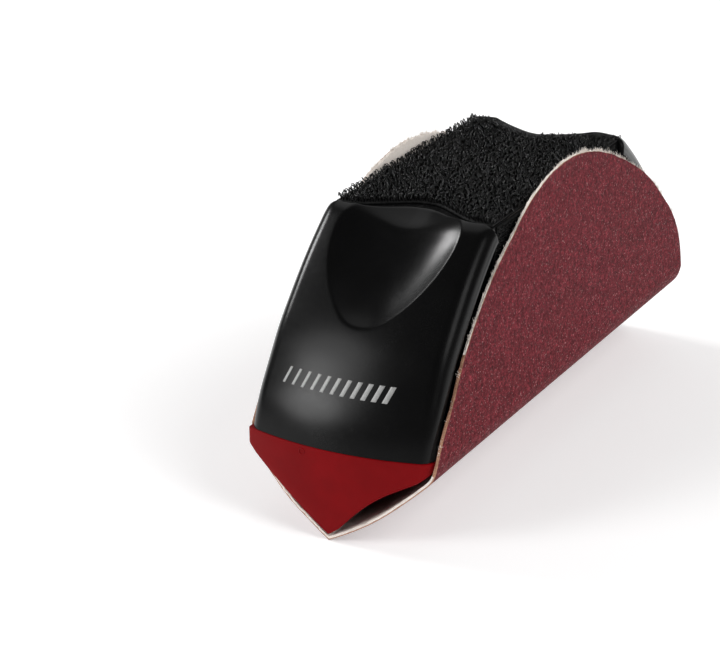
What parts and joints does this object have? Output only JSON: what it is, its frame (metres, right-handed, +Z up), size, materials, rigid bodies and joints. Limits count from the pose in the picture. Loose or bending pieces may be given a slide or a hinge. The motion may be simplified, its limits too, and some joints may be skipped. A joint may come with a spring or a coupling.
{
  "type": "contour sanding block",
  "caption": "Hand sanding block: hollow handle, exchangeable contour profile and a peel-off hook-and-loop abrasive sheet wrapped round it.",
  "frame": {"origin": "middle of the block in plan, at the height of the abrasive sheet's lowest edge", "axes": "+Y along the block's length towards its rear end, +X to the side with the hollow contour, +Z up through the handle"},
  "size_m": [0.0588, 0.1832, 0.0849],
  "materials": {
    "housing": "high gloss moulded",
    "base": "fine spark-eroded texture",
    "screw_steel": "zinc plated",
    "hook_tape": "moulded nylon hooks",
    "profile_red": "satin moulded",
    "abrasive": "aluminium oxide grit on cloth",
    "loop_backing": "brushed loop"
  },
  "bodies": {
    "handle": {"housing": "housing", "base_plate": "base", "base_screws": "screw_steel", "hook_tape_top": "hook_tape", "hook_tape_left": "hook_tape", "hook_tape_right": "hook_tape"},
    "profile": {"profile_insert": "profile_red", "sheet_middle_right_abrasive": "abrasive", "sheet_middle_right_loop": "loop_backing", "sheet_middle_left_abrasive": "abrasive", "sheet_middle_left_loop": "loop_backing"},
    "flap_left": {"flap_left_abrasive": "abrasive", "flap_left_loop": "loop_backing"},
    "flap_right": {"flap_right_abrasive": "abrasive", "flap_right_loop": "loop_backing"}
  },
  "joints": [
    {"name": "profile_release", "type": "slide", "parent": "handle", "child": "profile", "axis": [0, 0, -1], "range_m": [0, 0.009]},
    {"name": "flap_right_peel", "type": "hinge", "parent": "profile", "child": "flap_right", "pos_m": [0.0294, 0, 0.0254], "axis": [0, 1, 0], "range_deg": [0, 100]},
    {"name": "flap_left_peel", "type": "hinge", "parent": "profile", "child": "flap_left", "pos_m": [-0.0294, 0, 0.0254], "axis": [0, -1, 0], "range_deg": [0, 100]}
  ]
}
